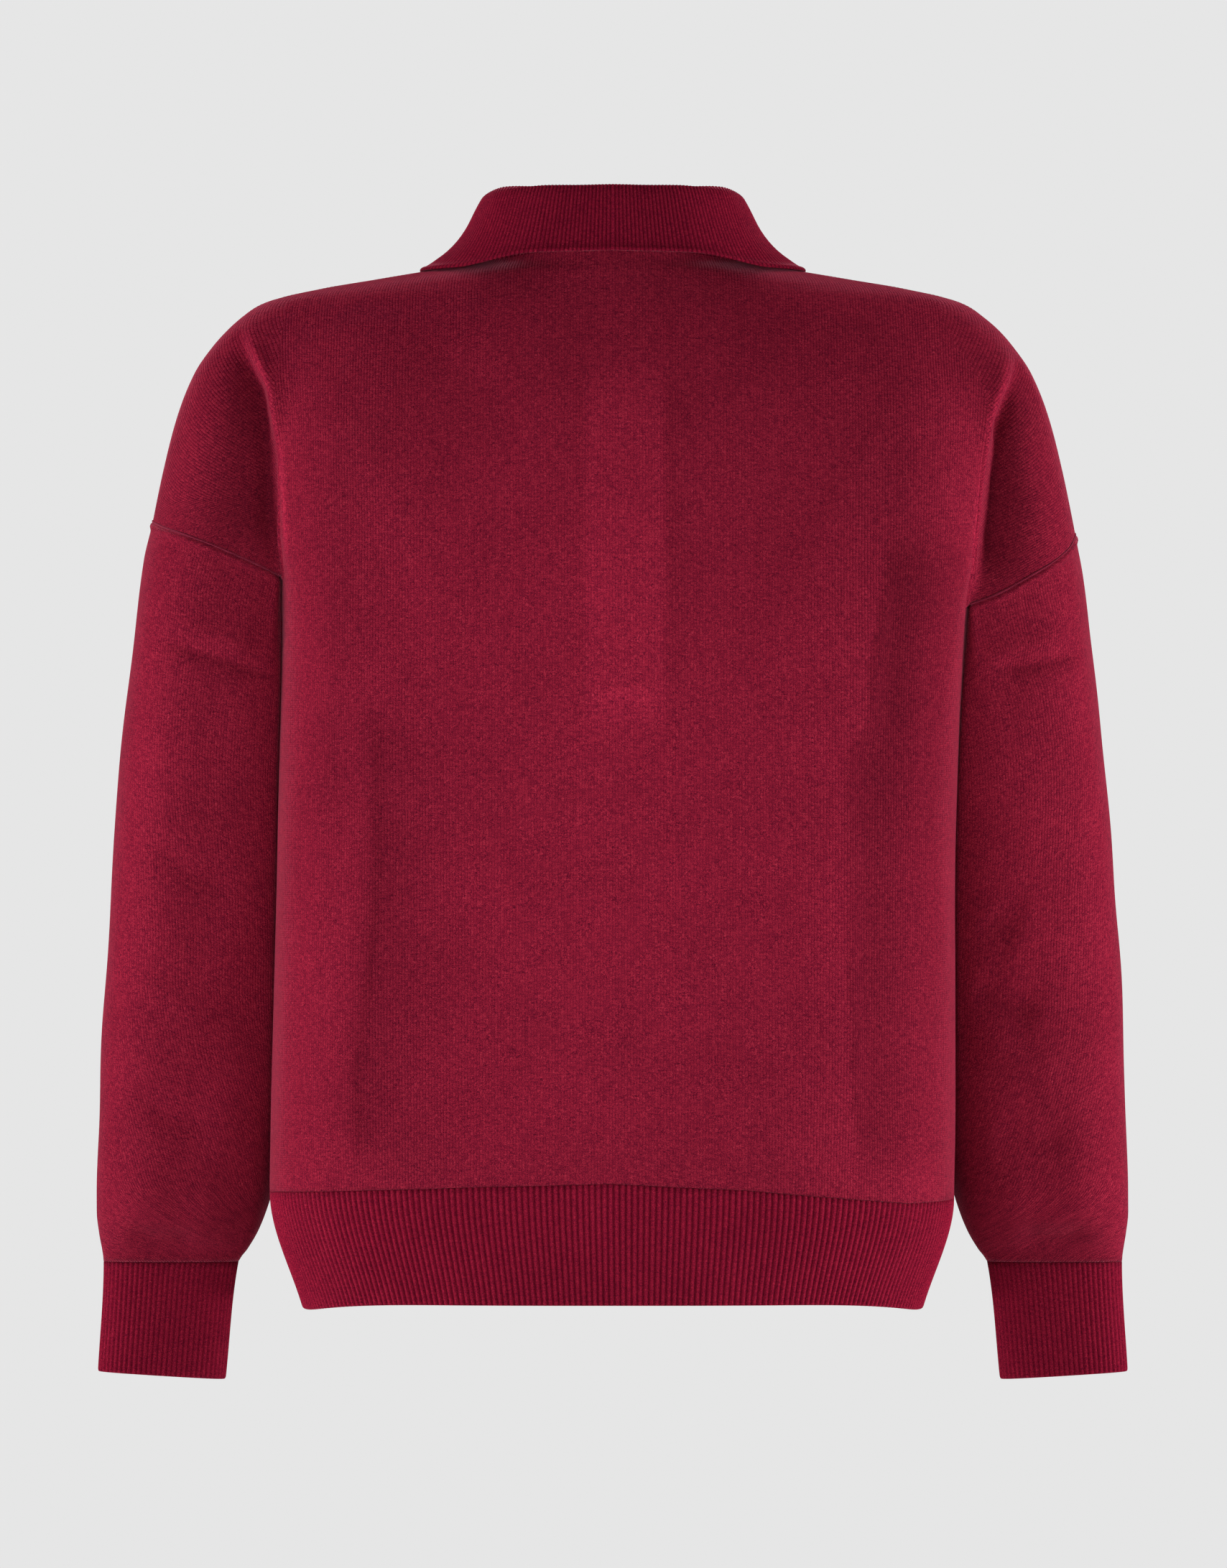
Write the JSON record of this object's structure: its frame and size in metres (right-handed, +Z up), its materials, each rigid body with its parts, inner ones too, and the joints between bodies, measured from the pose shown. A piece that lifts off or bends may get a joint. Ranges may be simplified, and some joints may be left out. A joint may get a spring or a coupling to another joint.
{
  "type": "polo sweater",
  "caption": "Long-sleeved polo sweater in fine double knit, filled out as worn: ribbed fold-down collar, buttoned half placket, dropped armholes, ribbed hem and cuffs, open at neck, hem, wrists",
  "frame": {"origin": "middle of the neck at the height of the shoulder's neck points, where the wearer's shoulders carry the garment", "axes": "+Z up, the front faces -Y, the wearer's left is +X"},
  "size_m": [0.6, 0.2449, 0.693],
  "materials": {
    "crimson_double_knit": "soft brushed double knit",
    "crimson_rib": "one by one rib",
    "burgundy_button": "polished"
  },
  "bodies": {
    "root": {"back": "crimson_double_knit", "front": "crimson_double_knit", "sleeve_left": "crimson_double_knit", "sleeve_right": "crimson_double_knit", "placket_over": "crimson_double_knit", "placket_under": "crimson_double_knit", "collar": "crimson_rib", "hem_rib": "crimson_rib", "cuff_left": "crimson_rib", "cuff_right": "crimson_rib", "button_1": "burgundy_button", "button_2": "burgundy_button", "button_3": "burgundy_button"}
  },
  "joints": []
}
